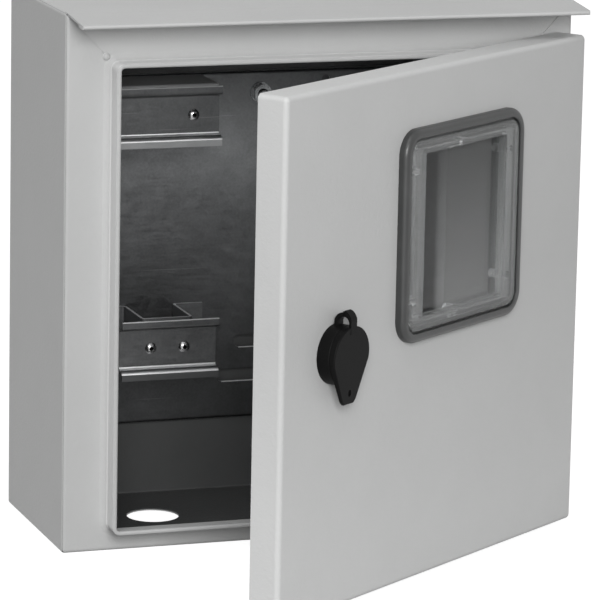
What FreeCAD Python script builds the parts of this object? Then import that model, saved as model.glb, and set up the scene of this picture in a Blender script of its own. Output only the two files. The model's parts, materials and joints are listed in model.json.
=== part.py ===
"""Outdoor electric meter box: a folded sheet steel case with a rain visor, a windowed door on
two lift-off hinges, a cam lock under a hinged dust cover, and a mounting panel with two rails.

Millimetres. The origin is on the back face, in the middle of the four wall holes.
X points right as seen from the front, Y points back into the wall, Z points up.
The door is drawn shut, then turned to the open angle that it rests at.
"""
import FreeCAD, Part
import math
import os

V = FreeCAD.Vector

# Case
BOX_WIDTH = 300.0
BOX_HEIGHT = 307.0
BOX_DEPTH = 117.0
SHEET = 1.2
FOLD = 1.0                    # inside radius of the folds
OPENING_SIDE = 27.8           # case side to the clear opening
OPENING_TOP = 29.3
OPENING_BOTTOM = 15.0
RIM_DEPTH = 16.0              # how far the rim stands forward of the front flange
RIM_BEND = 4.0
RIM_HEM = 8.0
RIM_CORNER = 3.2
SEAM_WIDTH = 1.0
SEAM_DEPTH = 0.6
WELD_RADIUS = 2.2
WELD_REACH = 4.6              # clear opening to the weld beads
VISOR_REACH = 30.0
VISOR_DROP = 2.9
VISOR_HEM = 8.0
VISOR_INSET = 1.0
VISOR_CORNER = 2.0
WALL_HOLE = 7.0
WALL_HOLE_SPACING_X = 230.0
WALL_HOLE_SPACING_Z = 240.0
CABLE_HOLE = 30.5
CABLE_HOLE_FROM_SIDE = 73.0
CABLE_HOLE_DEPTH = 53.0       # back face to the cable holes

# Door
DOOR_SIDE_GAP = 3.0
DOOR_TOP_GAP = 18.4
DOOR_BOTTOM_GAP = 4.8
DOOR_DEPTH = 18.5
DOOR_FOLD = 1.6
DOOR_STANDOFF = 4.0           # front flange to the edge of the door's own flange
OPEN_ANGLE = 36.0
SEAL_WIDTH = 9.0
SEAL_GAP = 0.4                # seal to rim when the door is shut
SEAL_SETBACK = 4.5            # rim's inner side to the seal's inner side

# Hinges
HINGE_INSET = 7.0             # door's outer side to the pin
HINGE_STANDOFF = 11.0         # front flange to the pin
HINGE_PIN_RADIUS = 2.0
HINGE_KNUCKLE_RADIUS = 4.0
HINGE_KNUCKLE_HEIGHT = 20.0
HINGE_LEAF = 2.0
HINGE_BEND = 1.8              # outside radius of the leaf's fold
HINGE_FOOT = 7.0
HINGE_FROM_END = 46.0         # door's top or bottom to the middle of a hinge
HINGE_END_GAP = 0.4
HINGE_RUNNING_GAP = 0.06
HINGE_PIN_SHORT = 3.0         # upper knuckle's end to the pin's end
NOTCH_MARGIN = 2.5
NOTCH_REST = 8.5              # flange that stays beside a hinge, from the door's face

# Window
WINDOW_BELOW_TOP = 90.2       # door's top to the window's middle
GASKET_WIDTH = 118.9
GASKET_HEIGHT = 117.7
GASKET_CORNER = 14.0
GASKET_BAND = 5.0
GASKET_PROUD = 5.5
GASKET_EDGE = 0.6
GASKET_ROUND = 3.0
GASKET_SLEEVE = 1.0
GASKET_LIP = 5.0
GASKET_LIP_DEPTH = 2.0
GASKET_SHELF = 2.7
CUTOUT_UNDER = 2.6            # cut-out edge to the inner side of the gasket's band
LENS_GROOVE = 1.4             # gasket's band to the lens
LENS_FIT = 0.15
LENS_PROUD = 5.0
LENS_WALL = 2.0
LENS_EDGE = 0.8
RECESS_WIDTH = 80.5
RECESS_HEIGHT = 90.0
RECESS_DEPTH = 5.0
CLIP_RADIUS = 2.4
CLIP_REACH = 8.0              # door's face to the rear ends of the clips
CLIP_OFFSET_X = 46.5          # window's middle to the side clips
CLIP_OFFSET_Z = 35.6
END_CLIP_OFFSET = 47.5        # window's middle to the clips at its top and bottom
HOOK_WIDTH = 6.0
HOOK_REACH = 1.6
HOOK_HEIGHT = 2.4

# Lock
LOCK_FROM_EDGE = 47.6         # door's free side to the lock
LOCK_ABOVE_DOOR = 140.8
LOCK_THREAD_RADIUS = 9.5
LOCK_FLATS = 16.5
LOCK_HEAD_RADIUS = 12.0
LOCK_HEAD_HEIGHT = 3.0
LOCK_HOUSING_LENGTH = 21.0
BARREL_RADIUS = 6.5
BARREL_GAP = 0.06
KEY_SLOT_WIDTH = 1.6
KEY_SLOT_LENGTH = 8.4
KEY_SLOT_DEPTH = 6.0
BARREL_SINK = 0.3             # lock's head to the barrel's front
LOCK_NUT_FLATS = 22.0
LOCK_NUT_HEIGHT = 4.0
CAM_CLEARANCE = 0.6           # back of the front flange to the cam
CAM_THICKNESS = 2.0
CAM_WIDTH = 15.0
CAM_LENGTH = 34.0
CAM_ROUND = 5.2
CAM_SQUARE = 7.0
CAM_BOLT_HEAD = 5.0
CAM_BOLT_HEIGHT = 3.0
CAM_BOLT_ROUND = 1.2
CAM_SOCKET = 4.0
COVER_RADIUS = 16.4
COVER_BASE_HEIGHT = 8.0
COVER_SEAT = 1.4
COVER_GAP = 0.3
COVER_FRONT = 11.5            # door's face to the cover's front, at the lock's middle
COVER_SLOPE = 3.0             # degrees that the cover's front leans back towards its tip
COVER_EDGE = 0.7
TONGUE_REACH = 26.0
TONGUE_HALF_TIP = 6.4
TONGUE_CORNER = 2.0
TONGUE_SLOT_WIDTH = 2.4
TONGUE_SLOT_HEIGHT = 3.8
TONGUE_SLOT_DROP = 20.0
STRAP_WIDTH = 5.4
STRAP_THICKNESS = 2.1
STRAP_FRONT = 1.5             # thickness of the strap's half on the cover, at its root
STRAP_REST = 1.4              # door's face to the back of the strap
STRAP_FOLD = 7.4              # door's face to the fold that the cover turns about
STRAP_TOP = 23.6              # lock's middle to the fold
STRAP_PIVOT = 0.3             # fold's top to the line that the cover turns about
STRAP_BEAD = 0.5
STRAP_HUMP = 1.2              # rise of the cover's half above the fold
STRAP_ARCH = 5.5              # height of the strap's bend from a leg to its top
STRAP_BROW = 4.4              # depth of the bend on the cover's half

# Panel and rails
PANEL_SIDE_GAP = 32.0         # case side to the panel
PANEL_TOP_GAP = 54.0
PANEL_BOTTOM_GAP = 45.0
PANEL_SHEET = 1.0
PANEL_FACE = 6.0              # back face to the panel's front
PANEL_FOLD = 0.8
PANEL_WALL_GAP = 0.5          # panel's folded edges to the inside of the back
STUD_RADIUS = 3.0
STUD_LENGTH = 13.0
STUD_FROM_TOP = 12.6          # panel's top to the upper stud
STUD_FROM_SIDE = 18.0
STUD_FROM_BOTTOM = 13.5
STUD_HOLE_GAP = 0.3
NUT_FLATS = 10.0
NUT_HEIGHT = 5.0
NUT_CHAMFER = 0.3             # how far the nut's corners are turned in
WASHER_RADIUS = 6.2
WASHER_HEIGHT = 1.2
SPACER_RADIUS = 5.0
METER_FROM_SIDE = 77.3        # panel's right side to the middle of the meter's slots
SLOT_HEIGHT = 7.4
UPPER_SLOT_LENGTH = 110.4
UPPER_SLOT_RISE = 46.6        # panel's bottom to the slot
LOWER_SLOT_LENGTH = 131.0
LOWER_SLOT_RISE = 26.2
HOOK_SLOT_WIDTH = 5.0
HOOK_SLOT_HEIGHT = 34.0
HOOK_SLOT_DROP = 20.5         # panel's top to the middle of the upright slot
RAIL_WIDTH = 35.0
RAIL_MOUTH = 27.0
RAIL_HEIGHT = 7.5
RAIL_SHEET = 1.0
RAIL_FOLD = 1.0
RAIL_TAPER = 1.2
RAIL_SEAT = 43.0              # back face to the back of a rail
UPPER_RAIL_LENGTH = 77.0
UPPER_RAIL_INSET = 3.7        # panel's left side to the rail
UPPER_RAIL_DROP = 18.0        # panel's top to the middle of the rail
LOWER_RAIL_LENGTH = 58.5
LOWER_RAIL_INSET = 22.2
LOWER_RAIL_RISE = 53.7        # panel's bottom to the middle of the rail
BRACKET_SHEET = 1.5
BRACKET_FOLD = 1.0
HAT_WIDTH = 31.0
HAT_FOOT = 17.0
SHELF_FOOT = 14.0
RIVET_HEAD = 3.4
RIVET_RISE = 1.5
RIVET_SHANK = 1.6
RIVET_EYE = 1.25
RIVET_GAP = 0.1
RIVET_TAIL = 2.6
UPPER_RIVET_PITCH = 46.4
LOWER_RIVET_PITCH = 20.2
EARTH_FROM_SIDE = 32.0
EARTH_FROM_FLOOR = 17.5

# Places worked out from the sizes above
BASE_Z = -BOX_HEIGHT / 2
ROOF_Z = BOX_HEIGHT / 2
OPEN_HALF_W = BOX_WIDTH / 2 - OPENING_SIDE
OPEN_LOW = BASE_Z + OPENING_BOTTOM
OPEN_HIGH = ROOF_Z - OPENING_TOP
SEAL_INNER = OPEN_HALF_W - SEAL_SETBACK
DOOR_LEFT = -BOX_WIDTH / 2 + DOOR_SIDE_GAP
DOOR_RIGHT = BOX_WIDTH / 2 - DOOR_SIDE_GAP
DOOR_LOW = BASE_Z + DOOR_BOTTOM_GAP
DOOR_HIGH = ROOF_Z - DOOR_TOP_GAP
DOOR_BACK_Y = -(BOX_DEPTH + DOOR_STANDOFF)
DOOR_FACE_Y = DOOR_BACK_Y - DOOR_DEPTH
PIN_X = DOOR_RIGHT - HINGE_INSET
PIN_Y = -(BOX_DEPTH + HINGE_STANDOFF)
LOCK_X = DOOR_LEFT + LOCK_FROM_EDGE
LOCK_Z = DOOR_LOW + LOCK_ABOVE_DOOR
WINDOW_X = (LOCK_X + COVER_RADIUS + SEAL_INNER) / 2
WINDOW_Z = DOOR_HIGH - WINDOW_BELOW_TOP
CAM_FRONT = DOOR_STANDOFF + DOOR_DEPTH + SHEET + CAM_CLEARANCE
COVER_BACK = COVER_BASE_HEIGHT + COVER_GAP
PANEL_HALF_W = BOX_WIDTH / 2 - PANEL_SIDE_GAP
PANEL_LOW = BASE_Z + PANEL_BOTTOM_GAP
PANEL_HIGH = ROOF_Z - PANEL_TOP_GAP
METER_X = PANEL_HALF_W - METER_FROM_SIDE
UPPER_RAIL_X = -PANEL_HALF_W + UPPER_RAIL_INSET + UPPER_RAIL_LENGTH / 2
UPPER_RAIL_Z = PANEL_HIGH - UPPER_RAIL_DROP
LOWER_RAIL_X = -PANEL_HALF_W + LOWER_RAIL_INSET + LOWER_RAIL_LENGTH / 2
LOWER_RAIL_Z = PANEL_LOW + LOWER_RAIL_RISE
EARTH_X = BOX_WIDTH / 2 - EARTH_FROM_SIDE
EARTH_Z = BASE_Z + EARTH_FROM_FLOOR


def profile(start, *steps):
    """Face from lines and arcs. A step is a point, or a pair (point on the arc, end of the arc).
    A point is (outward, forward), laid in the XY plane with forward along -Y."""
    def place(point):
        return V(point[0], -point[1], 0)
    edges = []
    here = start
    for step in list(steps) + [start]:
        if isinstance(step[0], tuple):
            edges.append(Part.Arc(place(here), place(step[0]), place(step[1])).toShape())
            here = step[1]
        elif step != here:
            edges.append(Part.LineSegment(place(here), place(step)).toShape())
            here = step
    return Part.Face(Part.Wire(edges))


def on_arc(centre, radius, degrees):
    """Point on a circle in the same plane as a profile."""
    turn = math.radians(degrees)
    return (centre[0] + radius * math.cos(turn), centre[1] + radius * math.sin(turn))


def ring(section, half_w, half_h, corner):
    """A section carried round a rectangle with round corners, facing -Y, about the origin."""
    pieces = []
    for side in range(4):
        reach, run = (half_w, half_h) if side % 2 == 0 else (half_h, half_w)
        straight = 2 * (run - corner)
        bar = section.copy()
        bar.translate(V(reach, 0, -straight / 2))
        bar = bar.extrude(V(0, 0, straight))
        bend = section.copy()
        bend.translate(V(reach, 0, straight / 2))
        bend = bend.revolve(V(reach - corner, 0, straight / 2), V(0, 1, 0), -90)
        for piece in (bar, bend):
            piece.rotate(V(0, 0, 0), V(0, 1, 0), -90 * side)
            pieces.append(piece)
    return pieces[0].fuse(pieces[1:]).removeSplitter()


def edges_along(shape, direction):
    """Straight edges that run along a direction."""
    found = []
    for edge in shape.Edges:
        ends = [vertex.Point for vertex in edge.Vertexes]
        if len(ends) == 2:
            run = ends[1] - ends[0]
            if run.Length > 0 and abs(abs(run.normalize().dot(direction)) - 1) < 1e-6:
                found.append(edge)
    return found


def same_line(edge, other):
    """True if two straight edges have the same middle."""
    return (edge.BoundBox.Center - other.BoundBox.Center).Length < 0.01


def block(low, high):
    """Box between two corners."""
    size = V(*high) - V(*low)
    return Part.makeBox(size.x, size.y, size.z, V(*low))


def rounded_plate(width, height, y_back, thickness, corner):
    """Upright plate about the origin in X and Z, from y_back forward, with round corners."""
    plate = block((-width / 2, y_back - thickness, -height / 2), (width / 2, y_back, height / 2))
    return plate.makeFillet(corner, edges_along(plate, V(0, 1, 0)))


def disc(radius, front, back, x=0.0, z=0.0):
    """Cylinder along Y between two distances forward of Y = 0."""
    return Part.makeCylinder(radius, front - back, V(x, -back, z), V(0, -1, 0))


def hexagon(flats, front, back, x=0.0, z=0.0):
    """Six-sided prism along Y between two distances forward of Y = 0."""
    corner = flats / math.sqrt(3)
    points = []
    for step in range(7):
        turn = math.radians(60 * step + 30)
        points.append(V(x + corner * math.cos(turn), -back, z + corner * math.sin(turn)))
    return Part.Face(Part.makePolygon(points)).extrude(V(0, back - front, 0))


def slot(length, height, front, back, x, z):
    """Level slot with round ends, cut along Y."""
    reach = (length - height) / 2
    middle = block((x - reach, -front, z - height / 2), (x + reach, -back, z + height / 2))
    ends = [disc(height / 2, front, back, x + side * reach, z) for side in (-1, 1)]
    return middle.fuse(ends).removeSplitter()


def moved(shape, x=0.0, y=0.0, z=0.0):
    copy = shape.copy()
    copy.translate(V(x, y, z))
    return copy


def opened(shape):
    """Turn a piece of the shut door to the resting angle."""
    copy = shape.copy()
    copy.rotate(V(PIN_X, PIN_Y, 0), V(0, 0, 1), OPEN_ANGLE)
    return copy


def on_door(shape, x=0.0, z=0.0):
    """Carry a piece drawn about Y = 0 to the door's outer face, then open it."""
    return opened(moved(shape, x, DOOR_FACE_Y, z))


def rim():
    """Rim round the opening: folded forward from the flange, with a hem along its edge."""
    outer = RIM_BEND + SHEET
    centre = (outer, RIM_BEND)
    nose = (0.0, RIM_DEPTH - SHEET)
    section = profile(
        (outer, -SHEET), (outer, 0.0),
        (on_arc(centre, RIM_BEND, 225), (SHEET, RIM_BEND)), (SHEET, nose[1]),
        (on_arc(nose, SHEET, 90), (-SHEET, nose[1])), (-SHEET, RIM_DEPTH - RIM_HEM),
        (0.0, RIM_DEPTH - RIM_HEM), (0.0, RIM_BEND),
        (on_arc(centre, outer, 225), (outer, -SHEET)))
    half_w = OPEN_HALF_W + SHEET
    half_h = (OPEN_HIGH - OPEN_LOW) / 2 + SHEET
    shape = ring(section, half_w, half_h, RIM_CORNER)
    return moved(shape, 0, -BOX_DEPTH, (OPEN_HIGH + OPEN_LOW) / 2)


def visor():
    """Roof sheet carried forward past the front, sloping down to a hemmed edge."""
    slope = math.atan2(VISOR_DROP, VISOR_REACH)
    length = math.hypot(VISOR_DROP, VISOR_REACH)

    def along(run, depth):
        y = BOX_DEPTH + run * math.cos(slope) - depth * math.sin(slope)
        z = ROOF_Z - run * math.sin(slope) - depth * math.cos(slope)
        return (z, y)
    lap = 5 * SHEET
    face = profile(
        (ROOF_Z, BOX_DEPTH - lap), (ROOF_Z, BOX_DEPTH), along(length - SHEET, 0),
        (along(length, SHEET), along(length - SHEET, 2 * SHEET)),
        along(length - VISOR_HEM, 2 * SHEET), along(length - VISOR_HEM, SHEET),
        (ROOF_Z - SHEET, BOX_DEPTH), (ROOF_Z - SHEET, BOX_DEPTH - lap))
    half = BOX_WIDTH / 2 - VISOR_INSET
    face.rotate(V(0, 0, 0), V(0, 1, 0), -90)
    strip = moved(face, -half).extrude(V(2 * half, 0, 0))
    front = BOX_DEPTH + VISOR_REACH + VISOR_CORNER
    plan = block((-half, -BOX_DEPTH - length, 0), (half, 0, 2 * ROOF_Z))
    front_edges = [edge for edge in edges_along(plan, V(0, 0, 1))
                   if edge.BoundBox.YMax < -front + 2 * VISOR_CORNER]
    return strip.common(plan.makeFillet(VISOR_CORNER, front_edges))


def corner_seams():
    """Shallow mitre lines from the case's upper corners to the rim's corners."""
    seams = []
    for side in (-1, 1):
        outer = V(side * BOX_WIDTH / 2, -BOX_DEPTH, ROOF_Z)
        reach = RIM_BEND + 2 * SHEET
        inner = V(side * (OPEN_HALF_W + reach), -BOX_DEPTH, OPEN_HIGH + reach)
        run = inner - outer
        groove = block((0, -SEAM_DEPTH, -SEAM_WIDTH / 2), (run.Length, SEAM_DEPTH, SEAM_WIDTH / 2))
        groove.rotate(V(0, 0, 0), V(0, 1, 0), -math.degrees(math.atan2(run.z, run.x)))
        groove.translate(outer)
        seams.append(groove)
    return seams


def weld_spots():
    """Beads left where the rim's upper corners were closed."""
    reach = OPEN_HALF_W + WELD_REACH
    return [Part.makeSphere(WELD_RADIUS, V(x, -BOX_DEPTH, OPEN_HIGH + WELD_REACH)) for x in (-reach, reach)]


def enclosure_shell():
    """Case: back, sides, roof, floor and front flange as one welded skin."""
    outer = block((-BOX_WIDTH / 2, -BOX_DEPTH, BASE_Z), (BOX_WIDTH / 2, 0, ROOF_Z))
    outer = outer.makeFillet(FOLD + SHEET, outer.Edges)
    inner = block((-BOX_WIDTH / 2 + SHEET, -BOX_DEPTH + SHEET, BASE_Z + SHEET),
                  (BOX_WIDTH / 2 - SHEET, -SHEET, ROOF_Z - SHEET))
    inner = inner.makeFillet(FOLD, inner.Edges)
    reach = RIM_BEND + 2 * SHEET
    width = 2 * (OPEN_HALF_W + reach)
    height = OPEN_HIGH - OPEN_LOW + 2 * reach
    mouth = rounded_plate(width, height, 2 * SHEET, 4 * SHEET, RIM_CORNER + RIM_BEND + SHEET)
    mouth = moved(mouth, 0, -BOX_DEPTH, (OPEN_HIGH + OPEN_LOW) / 2)
    shell = outer.cut(inner).cut(mouth)
    shell = shell.fuse([rim(), visor()] + weld_spots())
    holes = []
    for x in (-WALL_HOLE_SPACING_X / 2, WALL_HOLE_SPACING_X / 2):
        for z in (-WALL_HOLE_SPACING_Z / 2, WALL_HOLE_SPACING_Z / 2):
            holes.append(disc(WALL_HOLE / 2, 2 * SHEET, -SHEET, x, z))
    reach = BOX_WIDTH / 2 - CABLE_HOLE_FROM_SIDE
    for x in (-reach, reach):
        holes.append(Part.makeCylinder(CABLE_HOLE / 2, 3 * SHEET,
                                       V(x, -CABLE_HOLE_DEPTH, BASE_Z - SHEET), V(0, 0, 1)))
    return shell.cut(holes + corner_seams()).removeSplitter()


def door_notches():
    """Gaps in the hinge-side flange that let the case's hinge leaves pass."""
    half = HINGE_KNUCKLE_HEIGHT + NOTCH_MARGIN
    gaps = []
    for z in hinge_heights():
        gaps.append(block((DOOR_RIGHT - 3 * SHEET, DOOR_FACE_Y + NOTCH_REST, z - half),
                          (DOOR_RIGHT + SHEET, DOOR_BACK_Y + SHEET, z + half)))
    return gaps


def window_cutout(front, back, extra=0.0):
    """Prism of the window's hole in the door, or of a size that fits round it."""
    grow = 2 * (extra - GASKET_BAND - CUTOUT_UNDER)
    corner = GASKET_CORNER + grow / 2
    return rounded_plate(GASKET_WIDTH + grow, GASKET_HEIGHT + grow, -back, front - back, corner)


def door_pan():
    """Door: one sheet folded back on four sides, with its window and lock holes."""
    outer = block((DOOR_LEFT, DOOR_FACE_Y, DOOR_LOW), (DOOR_RIGHT, DOOR_BACK_Y, DOOR_HIGH))
    folded = [edge for edge in outer.Edges if edge.BoundBox.YMin < DOOR_BACK_Y - SHEET]
    outer = outer.makeFillet(DOOR_FOLD + SHEET, folded)
    inner = block((DOOR_LEFT + SHEET, DOOR_FACE_Y + SHEET, DOOR_LOW + SHEET),
                  (DOOR_RIGHT - SHEET, DOOR_BACK_Y + SHEET, DOOR_HIGH - SHEET))
    folded = [edge for edge in inner.Edges if edge.BoundBox.YMin < DOOR_BACK_Y - SHEET]
    inner = inner.makeFillet(DOOR_FOLD, folded)
    hole = moved(window_cutout(SHEET, -2 * SHEET), WINDOW_X, DOOR_FACE_Y, WINDOW_Z)
    pan = outer.cut(inner).cut(door_notches() + [hole, lock_hole()])
    return opened(pan)


def lock_hole():
    """Round hole with two flats for the lock's thread, in the shut door."""
    return moved(thread_shape(SHEET, -2 * SHEET, 2 * BARREL_GAP), LOCK_X, DOOR_FACE_Y, LOCK_Z)


def thread_shape(front, back, gap=0.0):
    """Round bar with two flats along Y."""
    bar = disc(LOCK_THREAD_RADIUS + gap, front, back)
    half = LOCK_FLATS / 2 + gap
    reach = LOCK_THREAD_RADIUS + 1
    return bar.common(block((-half, -front, -reach), (half, -back, reach)))


def door_seal():
    """Foam strip on the inside of the door, opposite the rim."""
    height = DOOR_STANDOFF + DOOR_DEPTH - SHEET - RIM_DEPTH - SEAL_GAP
    edge = height / 4
    section = profile((0, 0), (0, -height + edge), (edge, -height), (SEAL_WIDTH - edge, -height),
                      (SEAL_WIDTH, -height + edge), (SEAL_WIDTH, 0))
    inner_h = (OPEN_HIGH - OPEN_LOW) / 2 - SEAL_SETBACK
    shape = ring(section, SEAL_INNER, inner_h, RIM_CORNER)
    return opened(moved(shape, 0, DOOR_FACE_Y + SHEET, (OPEN_HIGH + OPEN_LOW) / 2))


def window_gasket():
    """Moulded rubber ring that grips the edge of the window's hole and carries the lens."""
    outer = GASKET_BAND + CUTOUT_UNDER
    crown = (outer - GASKET_ROUND, GASKET_PROUD - GASKET_ROUND)
    back = -SHEET - GASKET_LIP_DEPTH
    section = profile(
        (-GASKET_SLEEVE, back), (-GASKET_SLEEVE, GASKET_SHELF), (CUTOUT_UNDER, GASKET_SHELF),
        (CUTOUT_UNDER, GASKET_PROUD - GASKET_EDGE), (CUTOUT_UNDER + GASKET_EDGE, GASKET_PROUD),
        (crown[0], GASKET_PROUD), (on_arc(crown, GASKET_ROUND, 45), (outer, crown[1])),
        (outer, 0.0), (0.0, 0.0), (0.0, -SHEET), (GASKET_LIP - GASKET_EDGE, -SHEET),
        (GASKET_LIP - 2 * GASKET_EDGE, back))
    half_w = GASKET_WIDTH / 2 - outer
    half_h = GASKET_HEIGHT / 2 - outer
    return on_door(ring(section, half_w, half_h, GASKET_CORNER - outer), WINDOW_X, WINDOW_Z)


def window_lens():
    """Clear moulding: a front frame, a sunk pane, a skirt with hooks, and six round clips."""
    frame = window_cutout(LENS_PROUD, GASKET_SHELF, CUTOUT_UNDER - LENS_GROOVE)
    frame = frame.makeFillet(LENS_EDGE, [edge for edge in frame.Edges
                                         if edge.BoundBox.YMax < -LENS_PROUD + LENS_FIT])
    skirt_out = -GASKET_SLEEVE - LENS_FIT
    skirt_back = -SHEET - GASKET_LIP_DEPTH - HOOK_HEIGHT - LENS_FIT
    skirt = window_cutout(GASKET_SHELF, skirt_back, skirt_out)
    hollow = window_cutout(GASKET_SHELF - LENS_FIT, skirt_back - 1, skirt_out - LENS_WALL)
    floor = LENS_PROUD - RECESS_DEPTH
    tray = rounded_plate(RECESS_WIDTH + 2 * LENS_WALL, RECESS_HEIGHT + 2 * LENS_WALL, LENS_WALL - floor,
                         RECESS_DEPTH + LENS_WALL, LENS_WALL + LENS_EDGE)
    recess = rounded_plate(RECESS_WIDTH, RECESS_HEIGHT, -floor, RECESS_DEPTH + 1, LENS_EDGE)
    clips = [disc(CLIP_RADIUS, LENS_PROUD - LENS_EDGE, -CLIP_REACH, x, z) for x, z in clip_places()]
    hooks = window_hooks(skirt_out, skirt_back)
    lens = frame.fuse([skirt.cut(hollow), tray] + clips + hooks).cut(recess).removeSplitter()
    return on_door(lens, WINDOW_X, WINDOW_Z)


def clip_places():
    places = [(0.0, -END_CLIP_OFFSET), (0.0, END_CLIP_OFFSET)]
    for x in (-CLIP_OFFSET_X, CLIP_OFFSET_X):
        places += [(x, -CLIP_OFFSET_Z), (x, CLIP_OFFSET_Z)]
    return places


def window_hooks(skirt_out, skirt_back):
    """Six ramps on the skirt that catch behind the gasket's inner lip."""
    reach = GASKET_BAND + CUTOUT_UNDER - skirt_out
    half_w = GASKET_WIDTH / 2 - reach
    half_h = GASKET_HEIGHT / 2 - reach
    front = skirt_back + HOOK_HEIGHT
    ramp = profile((-LENS_WALL / 2, skirt_back), (-LENS_WALL / 2, front), (HOOK_REACH, front),
                   (LENS_FIT, skirt_back))
    sides = (-CLIP_OFFSET_Z, CLIP_OFFSET_Z)
    hooks = []
    layout = ((0, half_w, sides), (90, half_h, (0,)), (180, half_w, sides), (270, half_h, (0,)))
    for turn, out, places in layout:
        for place in places:
            hook = moved(ramp, out, 0, place - HOOK_WIDTH / 2).extrude(V(0, 0, HOOK_WIDTH))
            hook.rotate(V(0, 0, 0), V(0, 1, 0), turn)
            hooks.append(hook)
    return hooks


def hinge_heights():
    return (DOOR_LOW + HINGE_FROM_END, DOOR_HIGH - HINGE_FROM_END)


def hinge_leaf(reach, low, high, bore):
    """Strip folded from a flat foot up to a knuckle. The pin is on Z, the foot lies at Y = reach."""
    out = HINGE_KNUCKLE_RADIUS
    height = high - low
    knuckle = Part.makeCylinder(out, height, V(0, 0, low))
    web = block((-out, 0, low), (-out + HINGE_LEAF, reach, high))
    foot = block((-out - HINGE_FOOT, reach - HINGE_LEAF, low), (-out + HINGE_LEAF, reach, high))
    strip = web.fuse(foot).removeSplitter()
    heel = [edge for edge in edges_along(strip, V(0, 0, 1))
            if edge.BoundBox.XMin > -out + HINGE_LEAF - 0.01 and edge.BoundBox.YMin > reach - 0.01]
    strip = strip.makeFillet(HINGE_BEND, heel)
    hole = Part.makeCylinder(bore, height + 2, V(0, 0, low - 1))
    return knuckle.fuse(strip).cut(hole).removeSplitter()


def case_hinge(z):
    """Lower half of a hinge, welded to the front flange. It holds the pin."""
    leaf = hinge_leaf(HINGE_STANDOFF, -HINGE_KNUCKLE_HEIGHT, -HINGE_END_GAP / 2, HINGE_PIN_RADIUS)
    return moved(leaf, PIN_X, PIN_Y, z)


def door_hinge(z):
    """Upper half of a hinge, welded to the inside of the door."""
    reach = DOOR_STANDOFF + DOOR_DEPTH - SHEET - HINGE_STANDOFF
    bore = HINGE_PIN_RADIUS + HINGE_RUNNING_GAP
    leaf = hinge_leaf(reach, HINGE_END_GAP / 2, HINGE_KNUCKLE_HEIGHT, bore)
    leaf = leaf.mirror(V(0, 0, 0), V(0, 1, 0))
    return opened(moved(leaf, PIN_X, PIN_Y, z))


def hinge_pin(z):
    """Pin pressed into the case's knuckle, round at its upper end."""
    length = 2 * HINGE_KNUCKLE_HEIGHT - HINGE_PIN_SHORT
    pin = Part.makeCylinder(HINGE_PIN_RADIUS, length, V(0, 0, -HINGE_KNUCKLE_HEIGHT))
    top = [edge for edge in pin.Edges if edge.BoundBox.ZMin > 0 and len(edge.Vertexes) == 1]
    return moved(pin.makeFillet(HINGE_PIN_RADIUS / 2, top), PIN_X, PIN_Y, z)


def lock_housing():
    """Lock body: a round head outside the door, and a flatted thread with a bore."""
    head = disc(LOCK_HEAD_RADIUS, COVER_SEAT + LOCK_HEAD_HEIGHT, COVER_SEAT)
    head = head.makeFillet(LOCK_HEAD_HEIGHT / 4, [edge for edge in head.Edges
                                                  if edge.BoundBox.YMax < -COVER_SEAT - 0.1])
    body = head.fuse(thread_shape(COVER_SEAT, -LOCK_HOUSING_LENGTH))
    bore = disc(BARREL_RADIUS + BARREL_GAP, COVER_SEAT + LOCK_HEAD_HEIGHT + 1, -LOCK_HOUSING_LENGTH - 1)
    return on_door(body.cut(bore).removeSplitter(), LOCK_X, LOCK_Z)


def lock_nut():
    """Hexagon nut that clamps the lock from inside the door."""
    nut = hexagon(LOCK_NUT_FLATS, -SHEET, -SHEET - LOCK_NUT_HEIGHT)
    bore = thread_shape(0, -SHEET - LOCK_NUT_HEIGHT - 1, BARREL_GAP)
    return on_door(nut.cut(bore), LOCK_X, LOCK_Z)


def lock_barrel():
    """Turning core with a key slot at the front and a square for the cam at the back."""
    front = COVER_SEAT + LOCK_HEAD_HEIGHT - BARREL_SINK
    core = disc(BARREL_RADIUS, front, -CAM_FRONT)
    half = CAM_SQUARE / 2
    square = block((-half, CAM_FRONT - 1, -half), (half, CAM_FRONT + CAM_THICKNESS, half))
    slot_cut = slot(KEY_SLOT_LENGTH, KEY_SLOT_WIDTH, front + 1, front - KEY_SLOT_DEPTH, 0, 0)
    slot_cut.rotate(V(0, 0, 0), V(0, 1, 0), 90)
    return on_door(core.fuse(square).cut(slot_cut).removeSplitter(), LOCK_X, LOCK_Z)


def lock_cam():
    """Flat tongue on the barrel. It hangs straight down when unlocked."""
    half = CAM_WIDTH / 2
    plate = block((-half, CAM_FRONT, -CAM_LENGTH), (half, CAM_FRONT + CAM_THICKNESS, half))
    plate = plate.makeFillet(CAM_ROUND, edges_along(plate, V(0, 1, 0)))
    hole = block((-CAM_SQUARE / 2, CAM_FRONT - 1, -CAM_SQUARE / 2),
                 (CAM_SQUARE / 2, CAM_FRONT + CAM_THICKNESS + 1, CAM_SQUARE / 2))
    return on_door(plate.cut(hole), LOCK_X, LOCK_Z)


def cam_bolt():
    """Round-headed bolt that keeps the cam on its square."""
    back = CAM_FRONT + CAM_THICKNESS
    head = disc(CAM_BOLT_HEAD, -back, -back - CAM_BOLT_HEIGHT)
    rear = [edge for edge in head.Edges if edge.BoundBox.YMin > back + 0.1]
    head = head.makeFillet(CAM_BOLT_ROUND, rear)
    socket = hexagon(CAM_SOCKET, -back - 1, -back - CAM_BOLT_HEIGHT - 1)
    return on_door(head.cut(socket), LOCK_X, LOCK_Z)


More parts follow.
